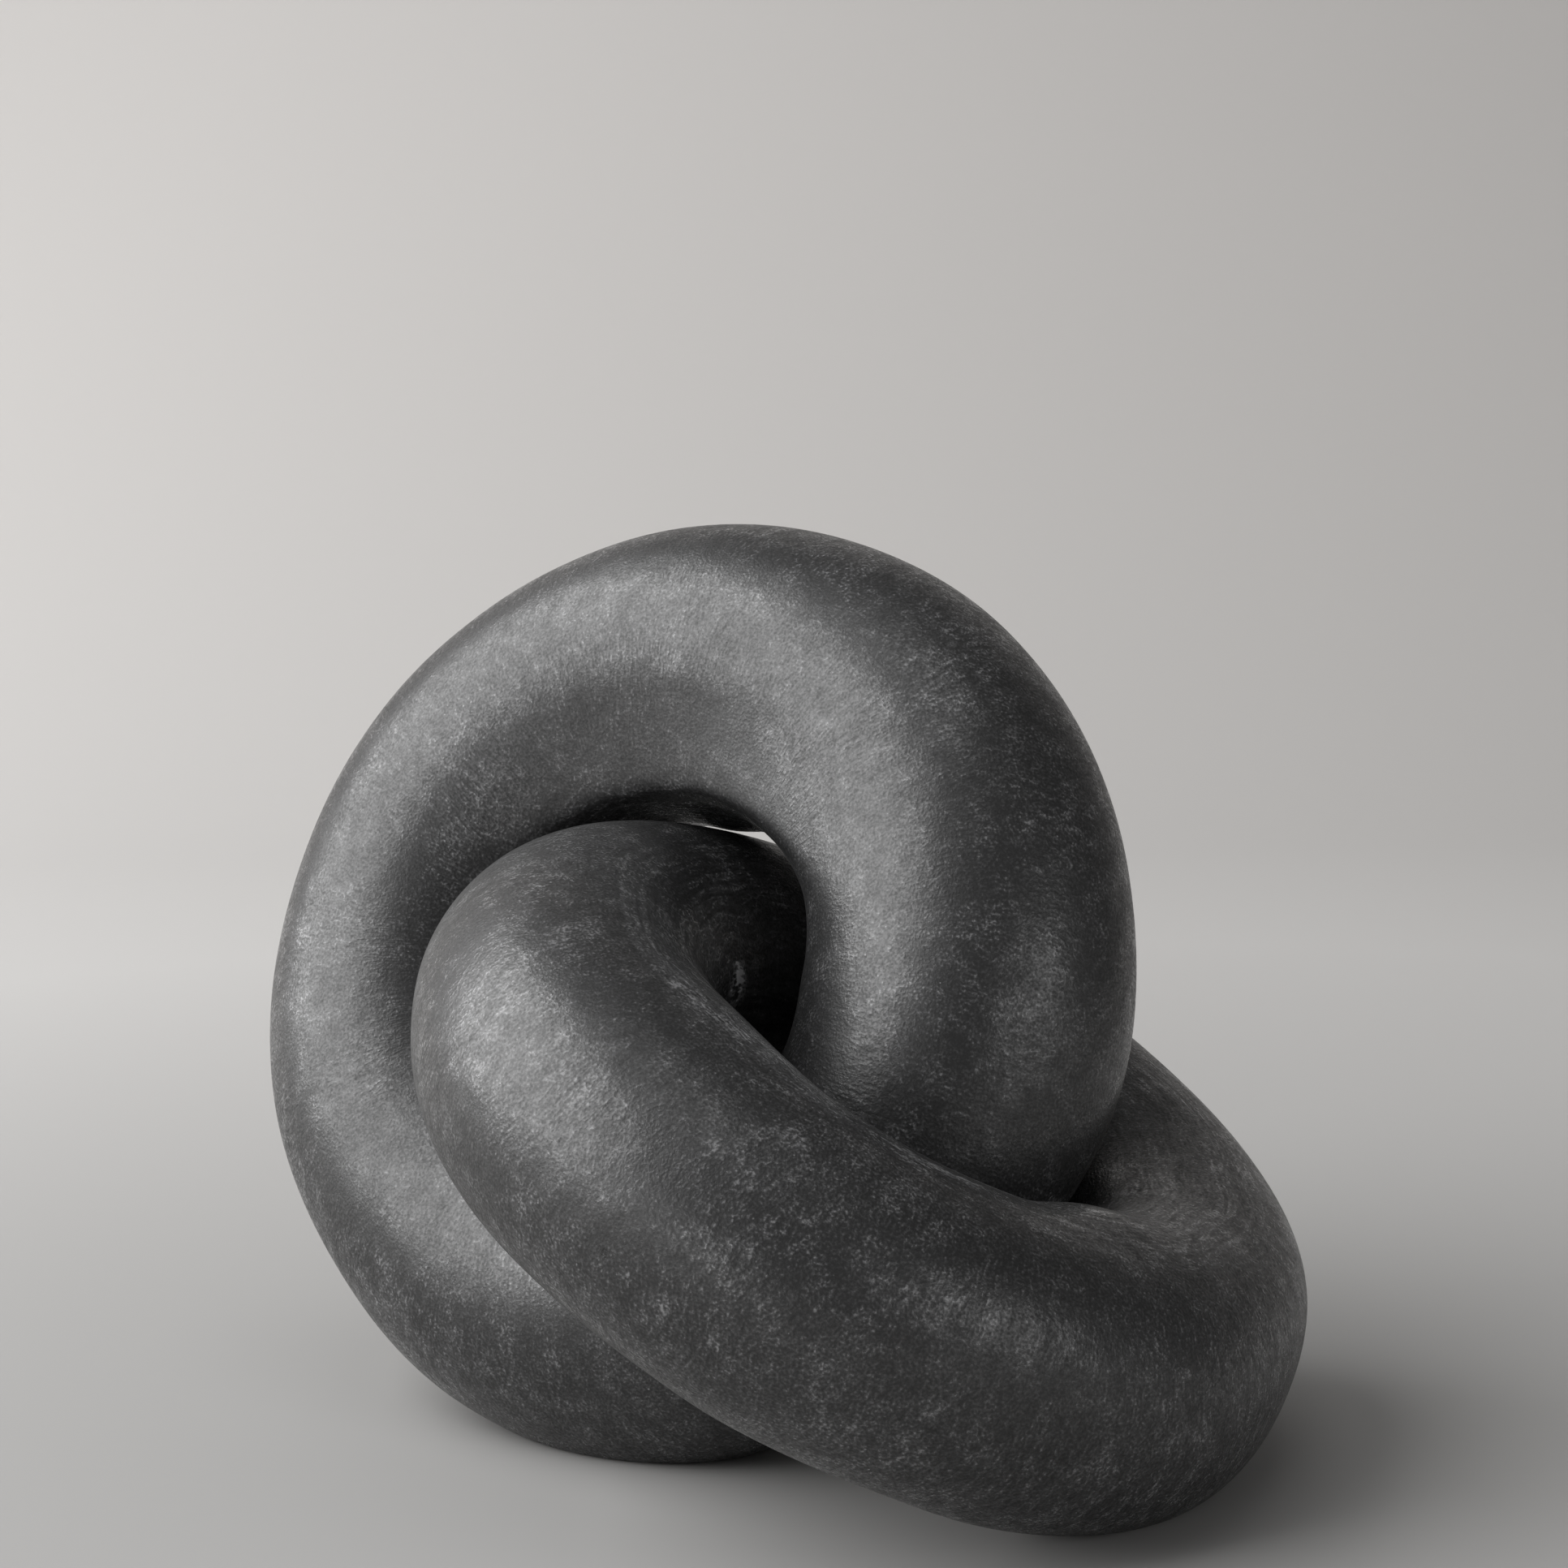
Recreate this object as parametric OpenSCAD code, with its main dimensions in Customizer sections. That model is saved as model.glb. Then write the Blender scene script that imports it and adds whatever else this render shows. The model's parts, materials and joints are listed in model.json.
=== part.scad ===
// Two thick stone rings carved as linked rings. One stands almost upright, the other lies
// across its foot, and each passes through the eye of the other without touching it.
// Millimetres. The floor is z = 0, and the origin is under the middle of the pair.

/* [Upright link] */
// Thickness of the upright link's round bar
upright_bar_d = 67; // [30:0.5:110]
// How much wider the upright link's eye is than the bar that passes through it
upright_eye_play = 12; // [8:0.5:30]
// How far the upright link's plane leans off plumb, in degrees
upright_lean = 23; // [12:0.5:30]
// Compass direction in which the upright link's axis points, in degrees from +X
upright_facing = -122; // [-180:0.5:180]

/* [Leaning link] */
// Thickness of the leaning link's round bar
leaning_bar_d = 61; // [30:0.5:110]
// How much wider the leaning link's eye is than the bar that passes through it
leaning_eye_play = 12; // [8:0.5:30]
// Turn of the leaning link's downhill direction from the upright link's axis, in degrees
leaning_turn = 99.5; // [85:0.5:112]

/* [Fits] */
// Least gap left between the two links
link_clearance = 0.5; // [0.3:0.1:2]
// Depth of stone ground off under each link so that it stands
foot_depth = 4; // [2:0.5:8]

/* [Hidden] */
$fn = 180;
honed_black = [0.17, 0.17, 0.18];
honed_grey = [0.23, 0.23, 0.24];

// Tilts between which the leaning link's own tilt is sought, in degrees
flattest_tilt = 2;
steepest_tilt = 70;
// The block that grinds a foot flat is this many times as wide as its link
ground_spread = 2;
// Degrees between the points at which the gap is measured
gap_step = 1;

// Each eye is the other link's bar and its play, and a ring's centre line is half a bar outside its eye
upright_ring_r = (leaning_bar_d + upright_eye_play + upright_bar_d) / 2;
leaning_ring_r = (upright_bar_d + leaning_eye_play + leaning_bar_d) / 2;
upright_bar_r = upright_bar_d / 2;
leaning_bar_r = leaning_bar_d / 2;

// Axis of a ring whose plane is tilted off level, with its low side towards facing
function ring_axis(tilt, facing) = [sin(tilt) * cos(facing), sin(tilt) * sin(facing), cos(tilt)];

// Height of a ring's centre when its bar has sunk by the foot's depth below the floor
function standing_height(ring_r, bar_r, tilt) = ring_r * sin(tilt) + bar_r - foot_depth;

function unit(v) = v / norm(v);

// Input at which a rising function passes zero, by halving
function root(f, low, high, halvings = 40) =
    let (middle = (low + high) / 2)
    halvings == 0 ? middle
    : f(middle) < 0 ? root(f, middle, high, halvings - 1)
    : root(f, low, middle, halvings - 1);

upright_tilt = 90 - upright_lean;
upright_axis = ring_axis(upright_tilt, upright_facing);
upright_height = standing_height(upright_ring_r, upright_bar_r, upright_tilt);
leaning_facing = upright_facing + leaning_turn;

// Direction from the upright centre down to the leaning centre, along the line where the ring planes meet
function way_down(tilt) = unit(cross(ring_axis(tilt, leaning_facing), upright_axis));

// The centres lie on that line. Along it each bar is the clearance away from the wall of the other link's eye
centre_distance = upright_bar_r + leaning_bar_r + abs(upright_ring_r - leaning_ring_r) + link_clearance;

// How far the leaning link, hung on that line at this tilt, has to be lifted to stand on the floor
function lift_needed(tilt) =
    standing_height(leaning_ring_r, leaning_bar_r, tilt)
    - upright_height
    - centre_distance * way_down(tilt).z;

// Both links stand on the floor at this tilt
leaning_tilt = root(function(tilt) lift_needed(tilt), flattest_tilt, steepest_tilt);
leaning_axis = ring_axis(leaning_tilt, leaning_facing);
leaning_along = way_down(leaning_tilt);
leaning_across = cross(leaning_axis, leaning_along);
leaning_step = centre_distance * leaning_along;

// Distance from a point, given from the upright centre, to the upright ring's centre line
function to_upright_ring(point) =
    let (off_plane = point * upright_axis)
    let (from_axis = norm(point - off_plane * upright_axis))
    norm([off_plane, from_axis - upright_ring_r]);

// Point on the leaning ring's centre line, given from the upright centre
function on_leaning_ring(turn) =
    leaning_step + leaning_ring_r * (cos(turn) * leaning_along + sin(turn) * leaning_across);

// Least gap between the two bars, measured on points all the way round
least_gap = min([for (turn = [0 : gap_step : 360 - gap_step]) to_upright_ring(on_leaning_ring(turn))])
    - upright_bar_r
    - leaning_bar_r;

// Reach of a ring from its centre along one row axis
function reach(axis, ring_r, bar_r, i) = ring_r * sqrt(1 - axis[i] * axis[i]) + bar_r;

// Middle of the pair along one row axis, from the upright centre
function pair_middle(i) =
    let (upright_reach = reach(upright_axis, upright_ring_r, upright_bar_r, i))
    let (leaning_reach = reach(leaning_axis, leaning_ring_r, leaning_bar_r, i))
    let (low = min(-upright_reach, leaning_step[i] - leaning_reach))
    let (high = max(upright_reach, leaning_step[i] + leaning_reach))
    (low + high) / 2;

upright_centre = [-pair_middle(0), -pair_middle(1), upright_height];
leaning_centre = upright_centre + leaning_step;

// Where each link meets the floor, under the lowest point of its centre line
function foot_point(centre, ring_r, tilt, facing) =
    [centre.x + ring_r * cos(tilt) * cos(facing), centre.y + ring_r * cos(tilt) * sin(facing), 0];

echo(upright_centre = upright_centre, upright_axis = upright_axis);
echo(leaning_centre = leaning_centre, leaning_axis = leaning_axis, leaning_tilt = leaning_tilt);
echo(upright_foot = foot_point(upright_centre, upright_ring_r, upright_tilt, upright_facing));
echo(leaning_foot = foot_point(leaning_centre, leaning_ring_r, leaning_tilt, leaning_facing));
echo(ring_radii = [upright_ring_r, leaning_ring_r], least_gap = least_gap);

// A round bar bent into a closed ring, about +Z
module ring(ring_r, bar_r) {
    rotate_extrude()
        translate([ring_r, 0])
            circle(bar_r);
}

// A ring stood in its place, with its underside ground flat on the floor
module standing_ring(centre, ring_r, bar_r, tilt, facing) {
    ground_w = ground_spread * 2 * (ring_r + bar_r);
    difference() {
        translate(centre)
            rotate([0, tilt, facing])
                ring(ring_r, bar_r);
        translate([centre.x - ground_w / 2, centre.y - ground_w / 2, -ground_w])
            cube(ground_w);
    }
}

module upright_link() {
    color(honed_black)
        standing_ring(upright_centre, upright_ring_r, upright_bar_r, upright_tilt, upright_facing);
}

module leaning_link() {
    color(honed_grey)
        standing_ring(leaning_centre, leaning_ring_r, leaning_bar_r, leaning_tilt, leaning_facing);
}

upright_link();
leaning_link();
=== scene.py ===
"""Two linked rings of honed dark stone on a pale studio floor. Metres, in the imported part's own frame."""
import json
import math
from dataclasses import dataclass, field

import bpy
import numpy as np
from mathutils import Matrix, Vector


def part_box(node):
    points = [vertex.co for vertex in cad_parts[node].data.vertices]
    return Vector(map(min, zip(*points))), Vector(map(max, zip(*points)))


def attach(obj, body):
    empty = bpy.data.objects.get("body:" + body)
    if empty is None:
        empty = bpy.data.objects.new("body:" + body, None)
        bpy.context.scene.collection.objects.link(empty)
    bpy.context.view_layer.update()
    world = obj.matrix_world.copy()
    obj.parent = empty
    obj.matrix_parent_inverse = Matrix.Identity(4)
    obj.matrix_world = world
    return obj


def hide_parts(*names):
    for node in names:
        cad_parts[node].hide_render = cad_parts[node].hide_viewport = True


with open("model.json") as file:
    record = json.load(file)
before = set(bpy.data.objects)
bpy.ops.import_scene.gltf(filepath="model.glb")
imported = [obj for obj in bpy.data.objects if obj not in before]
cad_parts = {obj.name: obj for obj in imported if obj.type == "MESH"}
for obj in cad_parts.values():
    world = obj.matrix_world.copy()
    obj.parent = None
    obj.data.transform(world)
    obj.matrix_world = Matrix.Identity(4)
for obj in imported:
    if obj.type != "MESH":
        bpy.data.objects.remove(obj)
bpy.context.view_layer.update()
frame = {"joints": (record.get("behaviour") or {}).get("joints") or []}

MM = 0.001

# Camera, as fitted to the outlines of both links in the 1932 px picture. The lens is in millimetres
CAMERA_PLACE = (0.0047, -0.6517, 0.2047)
CAMERA_PITCH = 5.77
CAMERA_ROLL = -0.79
CAMERA_LENS = 72.6
CAMERA_SENSOR = 36.0
CAMERA_NEAREST = 0.01
CAMERA_FURTHEST = 50.0

# Sizes of the links, as in the part's source
UPRIGHT_BAR_R = 33.5 * MM
LEANING_BAR_R = 30.5 * MM
RING_R = 70.0 * MM
UPRIGHT_TILT = 67.0
UPRIGHT_FACING = -122.0

# Mesh density of a link: steps along the ring and around the bar
RING_STEPS = 440
BAR_STEPS = 226

# Width of the worn edge round a foot that was ground flat
FOOT_WEAR = 1.0 * MM
# Degrees round the bar over which a carved corner is worn
EDGE_WEAR = 3.0

# Hand work is slightly wavy: how many waves are summed, and the fewest and most along and around a bar
WAVE_COUNT = 36
LEAST_WAVES_ALONG = 2
WAVES_ALONG = 22
WAVES_AROUND = 8
# A wave along the ring weighs as much as one around the bar with this many times fewer crests
WAVE_STRETCH = 3.0
# How far the waves lift the carved surface, and how far they lead the sanding strokes astray
CARVED_WAVE = 0.045 * MM
SANDING_WAVE = 1.0 * MM

# Linear greys of the stone at shade values from its darkest to a fresh chip, whose palest grey is partly a
# painted highlight
STONE_SHADES = [
    (0.0, 0.003),
    (0.3, 0.0115),
    (0.5, 0.025),
    (0.7, 0.055),
    (1.0, 0.19),
    (1.3, 0.22),
    (1.6, 0.6),
]
MIDDLE_SHADE = 0.5
STONE_COOLNESS = 1.02
STONE_ROUGHNESS = 0.36
STONE_IOR = 1.6
RELIEF_HEIGHT = 0.1 * MM

# Features of the stone and of its sanding, as counts per metre
CLOUDS_PER_M = 32
PATCHES_PER_M = 45
MOTTLE_PER_M = 190
GRAIN_PER_M = 1700
STROKES_PER_M = 1600
STROKE_ENDS_PER_M = 400
STREAKS_PER_M = 750
STREAK_ENDS_PER_M = 25
SPECKS_PER_M = 500

# How lengthwise the sanding is where strokes along the bar and long streaks start and are full
ALONG_STARTS = 0.35
ALONG_FULL = 0.75
STREAKS_START = 0.25
STREAKS_FULL = 0.7
# How lengthwise it is where strokes across the bar end and are full
ACROSS_ENDS = 0.55
ACROSS_FULL = 0.05

# How cloudy the stone is where it has no specks and where they are largest
SPECKLESS_CLOUD = -0.15
SPECKLED_CLOUD = 0.25
# Reach of the largest specks and softness of their edges, as shares of the room that each has
SPECK_REACH = 0.20
SPECK_EDGE = 0.10

# Share of a pit's radius that is its flat floor
PIT_FLOOR = 0.2
# How far a pit's edge strays
PIT_RAGGED = 1.5 * MM
# How much of a pale mark is pale where strokes and mottling are even
BRUISE_COVER = 0.5

# Colours of the floor at distances from the object: under it, further off, and on the backdrop. The darker
# floor round the object is a painted shadow, which the stone's undersides also reflect
FLOOR_COLOURS_WITH_PAINTED_SHADOW = [
    (0.1, (0.385, 0.38, 0.374)),
    (0.7, (0.57, 0.56, 0.55)),
    (2.0, (0.63, 0.612, 0.597)),
]
FLOOR_ROUGHNESS = 0.9
FLOOR_SPECULAR = 0.1

# The floor: half its width, where it starts, where it bends up and how widely, and the backdrop's top
FLOOR_HALF_W = 3.0
FLOOR_START = -2.5
BEND_START = 1.0
BEND_R = 1.2
BEND_POINTS = 24
BACKDROP_TOP = 2.8

ROOM_COLOUR = (1.0, 0.99, 0.98)
ROOM_STRENGTH = 0.10

# What the lamps face, and how far off they stand
LAMP_AIM = Vector((0.0, 0.0, 0.09))
LAMP_DISTANCE = 2.0


@dataclass
class Swell:
    """A place where the carved bar is fuller than a true ring, or leaner where the height is negative."""
    along: float
    around: float
    half_along: float
    half_around: float
    height: float


@dataclass
class Edge:
    """A worn corner along the bar, where two flat faces that leave the round bar meet.

    The slant is how far it moves round the bar with each degree along, the bend how fast that
    changes, and the half angle how far from the corner each face leaves the round.
    """
    along: float
    around: float
    half_along: float
    slant: float
    bend: float
    half_angle: float


@dataclass
class Mark:
    """A place where the stone is paler and rougher: faintly at a strength below 1, and above it as a pale
    chip whose paleness is partly a painted highlight.
    """
    along: float
    around: float
    half_along: float
    half_around: float
    strength: float


@dataclass
class Pit:
    """A small hole in the stone, sunk in the relief and painted darker inside as painted shade."""
    along: float
    around: float
    radius: float


@dataclass
class Sanding:
    """The side of the bar that was sanded lengthwise, how far that reaches, and its share elsewhere."""
    around: float
    half_around: float
    least_share: float


@dataclass
class Link:
    """A closed ring of round bar.

    Angles on it are in degrees. Along it they start at its highest point, and around it outside.
    """
    name: str
    centre: Vector
    axis: Vector
    ring_r: float
    bar_r: float
    seed: int
    sanding: Sanding
    swells: list = field(default_factory=list)
    edges: list = field(default_factory=list)
    marks: list = field(default_factory=list)
    pits: list = field(default_factory=list)


def ring_axis(tilt, facing):
    """Axis of a ring whose plane is tilted off level, with its low side towards facing, in degrees."""
    t = math.radians(tilt)
    f = math.radians(facing)
    return Vector((math.sin(t) * math.cos(f), math.sin(t) * math.sin(f), math.cos(t)))


def upright_centre(axis):
    """The middle of the upright link's box, at the height that its top gives."""
    low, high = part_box("upright_link")
    reach_up = RING_R * math.sqrt(1 - axis.z ** 2) + UPRIGHT_BAR_R
    return Vector(((low.x + high.x) / 2, (low.y + high.y) / 2, high.z - reach_up))


def upright_link():
    """The link that stands almost upright."""
    axis = ring_axis(UPRIGHT_TILT, UPRIGHT_FACING)
    return Link(
        name="upright_link",
        centre=upright_centre(axis),
        axis=axis,
        ring_r=RING_R,
        bar_r=UPRIGHT_BAR_R,
        seed=3,
        sanding=Sanding(180, 60, 0.25),
        swells=[
            # the right limb bows outwards on its way down, and its eye side is pared away
            Swell(-100, -30, 28, 80, 1.9 * MM),
            Swell(-80, -30, 40, 80, 0.8 * MM),
            Swell(-118, 150, 28, 60, -2.4 * MM),
            # the eye's upper edge is fuller on the far side
            Swell(-2, -165, 20, 40, 1.8 * MM),
            # the underside is fuller towards the viewer, the lower left side leaner
            Swell(-168, 0, 28, 50, 2.5 * MM),
            Swell(140, 25, 34, 60, -1.8 * MM),
            # the shoulders differ a little
            Swell(-15, 10, 25, 60, -0.6 * MM),
            Swell(55, 42, 40, 60, 0.7 * MM),
        ],
        edges=[
            # the near side of the eye's upper edge
            Edge(-5, 148, 85, 0.1, -0.0025, 31),
        ],
        pits=[
            Pit(-47.5, 97.5, 1.2 * MM),
            Pit(-50.7, 94.7, 1.4 * MM),
        ],
    )


def leaning_link():
    """The link that leans across the foot of the other, on the axis that it turns about."""
    turn = next(joint for joint in frame["joints"] if joint["name"] == "leaning_link_turn")
    return Link(
        name="leaning_link",
        centre=Vector(turn["pos_m"]),
        axis=Vector(turn["axis"]).normalized(),
        ring_r=RING_R,
        bar_r=LEANING_BAR_R,
        seed=8,
        sanding=Sanding(130, 85, 0.2),
        swells=[
            # the bulge at the left is fuller below
            Swell(50, -51, 42, 36, 1.2 * MM),
            # the edge over the eye is fuller at both ends
            Swell(68, 114, 28, 45, 1.4 * MM),
            Swell(150, 120, 18, 40, 1.8 * MM),
            # the low end and the underside next to it are leaner
            Swell(-176, 10, 36, 60, -2.7 * MM),
            Swell(122, -60, 22, 40, -0.8 * MM),
        ],
        marks=[
            # a pale chip on the eye's far wall, partly a painted highlight for the light it catches
            Mark(-2, 153, 7, 13, 2.4),
            # the crest is paler and rougher on its way down and where the bars cross
            Mark(44, 62, 7, 22, 0.25),
            Mark(62, 86, 9, 10, 0.34),
            Mark(72, 93, 8, 7, 0.46),
            Mark(111, 98, 12, 6, 0.55),
            Mark(-170, 130, 12, 10, 0.42),
            # pale patches on the broad side
            Mark(69, 29, 11, 18, 0.13),
            Mark(88, 40, 9, 14, 0.16),
            Mark(93, 63, 6, 10, 0.13),
            Mark(89, -11, 7, 10, 0.12),
            Mark(113, 34, 9, 14, 0.13),
            Mark(137, 0, 6, 10, 0.12),
        ],
        pits=[
            Pit(83.3, -9.3, 1.0 * MM),
            Pit(121.8, -3.4, 1.1 * MM),
            Pit(135.5, 2.2, 1.0 * MM),
        ],
    )


def degrees_off(angle, centre):
    """How far an angle in radians is from a centre in degrees, in degrees, the short way round."""
    return (np.degrees(angle) - centre + 180.0) % 360.0 - 180.0


def fade(angle, centre, half):
    """1 at the centre, falling smoothly to 0 at half degrees from it, round the circle."""
    share = np.clip(np.abs(degrees_off(angle, centre)) / half, 0.0, 1.0)
    return 0.5 + 0.5 * np.cos(math.pi * share)


def hand_waves(along, around, seed):
    """The waves of hand work, about 1 high, the same on every run and closed round both circles."""
    dice = np.random.default_rng(seed)
    height = np.zeros(np.broadcast(along, around).shape)
    power = 0.0
    for _ in range(WAVE_COUNT):
        m = dice.integers(LEAST_WAVES_ALONG, WAVES_ALONG + 1)
        n = dice.integers(-WAVES_AROUND, WAVES_AROUND + 1)
        phase = dice.uniform(0, 2 * math.pi)
        weight = 1.0 / math.hypot(m / WAVE_STRETCH, n, 1.0)
        height += weight * np.cos(m * along + n * around + phase)
        power += weight ** 2 / 2
    return height / math.sqrt(power)


def edge_height(link, edge, along, around):
    """How far a worn corner stands out of the round bar."""
    run = degrees_off(along, edge.along)
    corner = edge.around + edge.slant * run + edge.bend * run ** 2
    worn = np.hypot(degrees_off(around, corner), EDGE_WEAR) - EDGE_WEAR
    turn = np.radians(np.clip(edge.half_angle - worn, 0.0, None))
    ends = 1.0 - (1.0 - fade(along, edge.along, edge.half_along)) ** 2
    return link.bar_r * (1.0 / np.cos(turn) - 1.0) * ends


def bar_radius(link, along, around):
    """Radius of the carved bar at each place on the link."""
    radius = link.bar_r + CARVED_WAVE * hand_waves(along, around, link.seed)
    for s in link.swells:
        radius += s.height * fade(along, s.along, s.half_along) * fade(around, s.around, s.half_around)
    for e in link.edges:
        radius += edge_height(link, e, along, around)
    return radius


def ground_flat(height):
    """Heights with the stone below the floor ground off, and the edge of that foot worn round."""
    worn = (height + FOOT_WEAR) ** 2 / (4 * FOOT_WEAR)
    return np.where(height > FOOT_WEAR, height, np.where(height < -FOOT_WEAR, 0.0, worn))


def surface_places(link, along, around):
    """The points on a link's surface at angles along and around it."""
    axis = np.array(link.axis)
    uphill = np.array([0.0, 0.0, 1.0]) - axis[2] * axis
    uphill /= np.linalg.norm(uphill)
    sideways = np.cross(axis, uphill)
    radius = bar_radius(link, along, around)
    from_axis = (link.ring_r + radius * np.cos(around))[..., None]
    outwards = np.cos(along)[..., None] * uphill + np.sin(along)[..., None] * sideways
    places = np.array(link.centre) + from_axis * outwards + (radius * np.sin(around))[..., None] * axis
    places[..., 2] = ground_flat(places[..., 2])
    return places


def link_faces():
    """Faces of the grid, closed along and around, and the corners' places in the unrolled map."""
    i, j = np.meshgrid(np.arange(RING_STEPS), np.arange(BAR_STEPS), indexing="ij")
    corners = [(0, 0), (1, 0), (1, 1), (0, 1)]
    faces = [((i + a) % RING_STEPS) * BAR_STEPS + (j + b) % BAR_STEPS for a, b in corners]
    unrolled = [np.stack(((i + a) / RING_STEPS, (j + b) / BAR_STEPS), axis=-1) for a, b in corners]
    return np.stack(faces, axis=-1).reshape(-1, 4), np.stack(unrolled, axis=2).reshape(-1, 2)


def keep_values(mesh, name, values):
    """Stores a number, or a row of three, for each point of the mesh."""
    kind, key = ("FLOAT_VECTOR", "vector") if values.ndim == 3 else ("FLOAT", "value")
    attribute = mesh.attributes.new(name, kind, "POINT")
    attribute.data.foreach_set(key, values.astype(np.float32).ravel())


def keep_sanding(mesh, link, along, around):
    """Stores where each point lies on the bar as the sanding follows it, and which way it was sanded."""
    u = along + SANDING_WAVE * hand_waves(along, around, link.seed + 1) / link.ring_r
    v = around + SANDING_WAVE * hand_waves(along, around, link.seed + 2) / link.bar_r
    flow = [link.ring_r * np.cos(u), link.ring_r * np.sin(u), link.bar_r * np.cos(v)]
    keep_values(mesh, "bar_flow", np.stack(flow, axis=-1))
    keep_values(mesh, "bar_turn", link.bar_r * np.sin(v))
    sanding = link.sanding
    spread = fade(v, sanding.around, sanding.half_around)
    keep_values(mesh, "lengthwise", sanding.least_share + (1.0 - sanding.least_share) * spread)


def keep_marks(mesh, link, along, around):
    """Stores how strongly each point is marked paler, which is the strength of the strongest mark there;
    above 1 it is partly a painted highlight.
    """
    worn = np.zeros(np.broadcast(along, around).shape)
    for mark in link.marks:
        spread = fade(along, mark.along, mark.half_along) * fade(around, mark.around, mark.half_around)
        worn = np.maximum(worn, mark.strength * spread)
    keep_values(mesh, "worn", worn)


def add_object(name, data):
    """A new object in the scene."""
    thing = bpy.data.objects.new(name, data)
    bpy.context.scene.collection.objects.link(thing)
    return thing


def smooth_mesh(name, points, faces):
    """A new mesh with smooth shading."""
    mesh = bpy.data.meshes.new(name)
    mesh.from_pydata(points, [], faces)
    mesh.polygons.foreach_set("use_smooth", [True] * len(mesh.polygons))
    return mesh


def carve_link(link):
    """The carved link as an object."""
    along = np.linspace(0, 2 * math.pi, RING_STEPS, endpoint=False)[:, None]
    around = np.linspace(0, 2 * math.pi, BAR_STEPS, endpoint=False)[None, :]
    places = surface_places(link, along, around)
    faces, unrolled = link_faces()
    mesh = smooth_mesh(link.name, places.reshape(-1, 3).tolist(), faces.tolist())
    uv_map = mesh.uv_layers.new(name="OFBake")
    uv_map.data.foreach_set("uv", unrolled.astype(np.float32).ravel())
    keep_sanding(mesh, link, along, around)
    keep_marks(mesh, link, along, around)
    mesh.validate()
    mesh.update()
    return add_object(link.name + "_carved", mesh)


class Nodes:
    """Adds nodes to a new material's tree."""

    def __init__(self, name):
        self.material = bpy.data.materials.new(name)
        self.material.use_nodes = True
        self.tree = self.material.node_tree
        self.shader = self.tree.nodes["Principled BSDF"]

    def feed(self, socket, value):
        """Links a socket from another node's output, or sets it to a plain value."""
        if isinstance(value, bpy.types.NodeSocket):
            self.tree.links.new(value, socket)
        else:
            socket.default_value = value

    def add(self, kind, inputs=None, output=0, **settings):
        """A new node's output, once its settings are made and its inputs fed."""
        node = self.tree.nodes.new("ShaderNode" + kind)
        for name, value in settings.items():
            setattr(node, name, value)
        for key, value in (inputs or {}).items():
            self.feed(node.inputs[key], value)
        return node.outputs[output]

    def math(self, operation, *values):
        """The result of an operation on one, two or three values."""
        return self.add("Math", dict(enumerate(values)), operation=operation)

    def total(self, start, terms):
        """A start value and the sum of other values, each times its weight."""
        result = start
        for value, weight in terms:
            result = self.math("MULTIPLY_ADD", value, weight, result)
        return result

    def stored(self, name):
        """A number that the mesh stores for each point."""
        return self.add("Attribute", output="Fac", attribute_name=name)

    def noise(self, vector, per_m, detail):
        """Cloudy noise about 0."""
        level = self.add("TexNoise", {"Vector": vector, "Scale": per_m, "Detail": detail})
        return self.math("SUBTRACT", level, 0.5)

    def strokes(self, per_m_along, per_m_around):
        """Noise about 0 that is drawn out along or around a closed bar, with no seam."""
        flow = self.add("Attribute", output="Vector", attribute_name="bar_flow")
        rates = (per_m_along, per_m_along, per_m_around)
        vector = self.add("VectorMath", {0: flow, 1: rates}, operation="MULTIPLY")
        w = self.math("MULTIPLY", self.stored("bar_turn"), per_m_around)
        inputs = {"Vector": vector, "W": w, "Scale": 1.0, "Detail": 1.0}
        return self.math("SUBTRACT", self.add("TexNoise", inputs, noise_dimensions="4D"), 0.5)

    def step(self, value, low, high):
        """0 at low and 1 at high, smooth between them."""
        inputs = {"Value": value, "From Min": low, "From Max": high}
        return self.add("MapRange", inputs, interpolation_type="SMOOTHSTEP")

    def ramp(self, value, stops):
        """A colour for each value from 0 to that of the last stop."""
        top = stops[-1][0]
        node = self.tree.nodes.new("ShaderNodeValToRGB")
        self.feed(node.inputs[0], self.math("DIVIDE", value, top))
        elements = node.color_ramp.elements
        while len(elements) < len(stops):
            elements.new(1.0)
        for element, (position, colour) in zip(elements, stops):
            element.position = position / top
            element.color = (*colour, 1.0)
        return node.outputs[0]


def sanding_strokes(nodes, place):
    """Strokes across the bar and along it, each in its own patches."""
    across = nodes.strokes(STROKES_PER_M, STROKE_ENDS_PER_M)
    along = nodes.strokes(STROKE_ENDS_PER_M, STROKES_PER_M)
    patches = nodes.noise(place, PATCHES_PER_M, detail=2)
    lengthwise = nodes.math("ADD", nodes.stored("lengthwise"), patches)
    along_share = nodes.step(lengthwise, ALONG_STARTS, ALONG_FULL)
    across_share = nodes.step(lengthwise, ACROSS_ENDS, ACROSS_FULL)
    return nodes.total(nodes.math("MULTIPLY", along, along_share), [(across, across_share)])


def long_streaks(nodes):
    """Long streaks along the bar, on the side that was sanded lengthwise."""
    streaks = nodes.strokes(STREAK_ENDS_PER_M, STREAKS_PER_M)
    share = nodes.step(nodes.stored("lengthwise"), STREAKS_START, STREAKS_FULL)
    return nodes.math("MULTIPLY", streaks, share)


def pale_specks(nodes, place, clouds):
    """Small pale grains, larger and closer where the stone is cloudy."""
    off = nodes.add("TexVoronoi", {"Vector": place, "Scale": SPECKS_PER_M})
    reach = nodes.math("MULTIPLY", nodes.step(clouds, SPECKLESS_CLOUD, SPECKLED_CLOUD), SPECK_REACH)
    return nodes.step(nodes.math("SUBTRACT", reach, off), 0.0, SPECK_EDGE)


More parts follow.
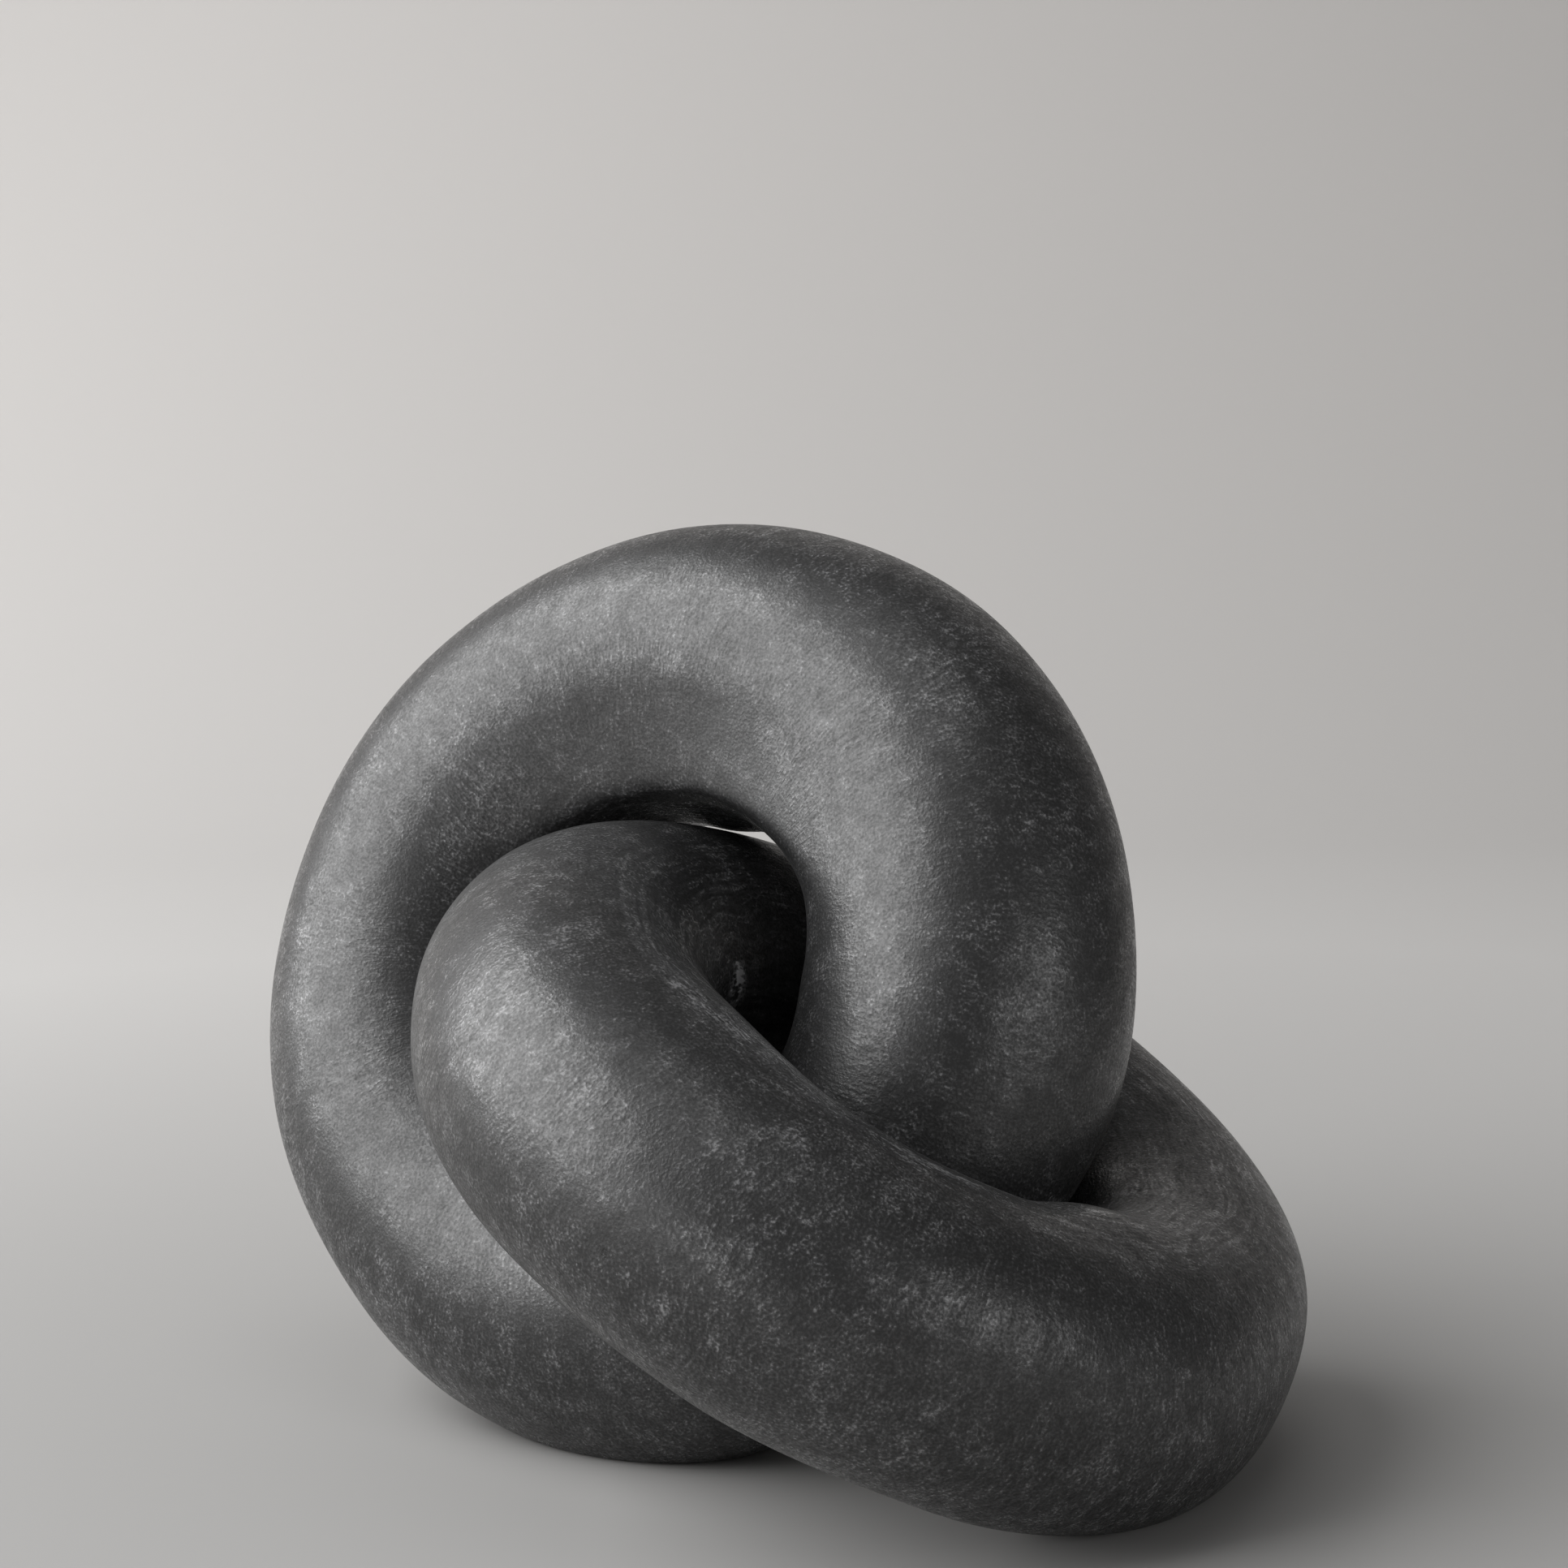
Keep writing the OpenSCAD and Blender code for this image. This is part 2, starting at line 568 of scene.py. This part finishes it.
def pit_holes(nodes, place, ragged, links):
    """1 inside the ragged pits of the links, 0 outside."""
    pit_depth_and_shade = 0.0
    for link in links:
        for pit in link.pits:
            angles = np.radians([[[pit.along]], [[pit.around]]])
            spot = surface_places(link, *angles)[0, 0]
            off = nodes.add("VectorMath", {0: place, 1: spot}, output="Value", operation="DISTANCE")
            off = nodes.total(off, [(ragged, PIT_RAGGED)])
            pit_depth_and_shade = nodes.math("MAXIMUM", pit_depth_and_shade, nodes.step(off, pit.radius, pit.radius * PIT_FLOOR))
    return pit_depth_and_shade


def honed_stone(links):
    """Charcoal stone, sanded by hand to a dull sheen."""
    nodes = Nodes("honed_stone")
    place = nodes.add("TexCoord", output="Object")
    strokes = sanding_strokes(nodes, place)
    streaks = long_streaks(nodes)
    clouds = nodes.noise(place, CLOUDS_PER_M, detail=4)
    mottle = nodes.noise(place, MOTTLE_PER_M, detail=3)
    grain = nodes.noise(place, GRAIN_PER_M, detail=2)
    specks = pale_specks(nodes, place, clouds)
    pit_depth_and_shade = pit_holes(nodes, place, grain, links)
    worn = nodes.stored("worn")
    # marks are paler and rougher; above a strength of 1 the paleness is partly a painted highlight
    ragged = nodes.total(BRUISE_COVER, [(strokes, 2.0), (mottle, 3.0)])
    pale_marks_and_painted_highlight = nodes.math("MULTIPLY", worn, nodes.math("MAXIMUM", ragged, 0.0))

    shade = nodes.total(MIDDLE_SHADE, [
        (clouds, 0.45),
        (mottle, 0.70),
        (strokes, 0.90),
        (streaks, 0.85),
        (grain, 1.45),
        (specks, 0.42),
        # the pits are painted darker: painted shade inside them
        (pit_depth_and_shade, -0.40),
        (pale_marks_and_painted_highlight, 0.95),
    ])
    greys = [(at, (grey, grey, grey * STONE_COOLNESS)) for at, grey in STONE_SHADES]
    nodes.feed(nodes.shader.inputs["Base Color"], nodes.ramp(shade, greys))

    dullness = nodes.total(STONE_ROUGHNESS, [
        (clouds, -0.10),
        (mottle, -0.30),
        (strokes, -0.40),
        (streaks, -0.30),
        (grain, -0.60),
        (specks, -0.10),
        (worn, 0.20),
    ])
    nodes.feed(nodes.shader.inputs["Roughness"], dullness)
    nodes.shader.inputs["IOR"].default_value = STONE_IOR

    relief = nodes.total(0.0, [
        (strokes, 0.8),
        (grain, 0.8),
        (mottle, 2.0),
        (specks, 0.1),
        (pit_depth_and_shade, -0.6),
    ])
    bump = nodes.add("Bump", {"Height": relief, "Distance": RELIEF_HEIGHT})
    nodes.feed(nodes.shader.inputs["Normal"], bump)
    return nodes.material


def floor_paint_with_painted_shadow():
    """Matt paint, darker round the object as a painted shadow, paler away from it and palest on the
    backdrop.
    """
    nodes = Nodes("pale_floor_with_painted_shadow")
    place = nodes.add("TexCoord", output="Object")
    off = nodes.add("VectorMath", {0: place}, output="Value", operation="LENGTH")
    # darker near the object: a painted shadow
    nodes.feed(nodes.shader.inputs["Base Color"], nodes.ramp(off, FLOOR_COLOURS_WITH_PAINTED_SHADOW))
    nodes.shader.inputs["Roughness"].default_value = FLOOR_ROUGHNESS
    nodes.shader.inputs["Specular IOR Level"].default_value = FLOOR_SPECULAR
    return nodes.material


def studio_floor():
    """A pale floor that sweeps up into the backdrop."""
    profile = [(FLOOR_START, 0.0)]
    for a in np.linspace(0, math.pi / 2, BEND_POINTS):
        profile.append((BEND_START + BEND_R * math.sin(a), BEND_R - BEND_R * math.cos(a)))
    profile.append((BEND_START + BEND_R, BACKDROP_TOP))
    points = [(x, y, z) for y, z in profile for x in (-FLOOR_HALF_W, FLOOR_HALF_W)]
    faces = [(2 * i, 2 * i + 1, 2 * i + 3, 2 * i + 2) for i in range(len(profile) - 1)]
    mesh = smooth_mesh("studio_floor", points, faces)
    mesh.materials.append(floor_paint_with_painted_shadow())
    floor = add_object("studio_floor", mesh)


def soft_box(name, bearing, elevation, width, height, power):
    """A softbox that faces the object. Bearings run from the camera's side towards +X, in degrees."""
    b = math.radians(bearing)
    e = math.radians(elevation)
    away = Vector((math.sin(b) * math.cos(e), -math.cos(b) * math.cos(e), math.sin(e)))
    lamp = bpy.data.lights.new(name, "AREA")
    lamp.shape = "RECTANGLE"
    lamp.size = width
    lamp.size_y = height
    lamp.energy = power
    light = add_object(name, lamp)
    light.location = LAMP_AIM + LAMP_DISTANCE * away
    light.rotation_euler = (-away).to_track_quat("-Z", "Y").to_euler()


def studio_light():
    """Plain soft light: a large softbox at the left, weak ones round it and a pale room."""
    soft_box("key_softbox", bearing=273, elevation=35, width=2.75, height=2.37, power=83.0)
    soft_box("low_softbox", bearing=328, elevation=6, width=0.83, height=0.4, power=3.0)
    soft_box("fill_softbox", bearing=50, elevation=14, width=1.33, height=0.83, power=5.3)
    soft_box("top_softbox", bearing=0, elevation=80, width=1.17, height=1.17, power=4.6)
    world = bpy.data.worlds.new("pale_room")
    world.use_nodes = True
    room = world.node_tree.nodes["Background"]
    room.inputs["Color"].default_value = (*ROOM_COLOUR, 1.0)
    room.inputs["Strength"].default_value = ROOM_STRENGTH
    bpy.context.scene.world = world


def picture_camera():
    """The camera, looking along +Y, pitched down and rolled as fitted."""
    lens = bpy.data.cameras.new("camera")
    lens.lens = CAMERA_LENS
    lens.sensor_width = CAMERA_SENSOR
    lens.clip_start = CAMERA_NEAREST
    lens.clip_end = CAMERA_FURTHEST
    camera = add_object("camera", lens)
    pitch = Matrix.Rotation(math.radians(90 - CAMERA_PITCH), 4, "X")
    roll = Matrix.Rotation(math.radians(CAMERA_ROLL), 4, "Z")
    camera.matrix_world = Matrix.Translation(CAMERA_PLACE) @ pitch @ roll
    bpy.context.scene.camera = camera


picture_camera()
studio_floor()
studio_light()
bpy.context.scene.view_settings.view_transform = "Standard"

links = [upright_link(), leaning_link()]
stone = honed_stone(links)
for link in links:
    piece = carve_link(link)
    piece.data.materials.append(stone)
    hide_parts(link.name)
    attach(piece, link.name)
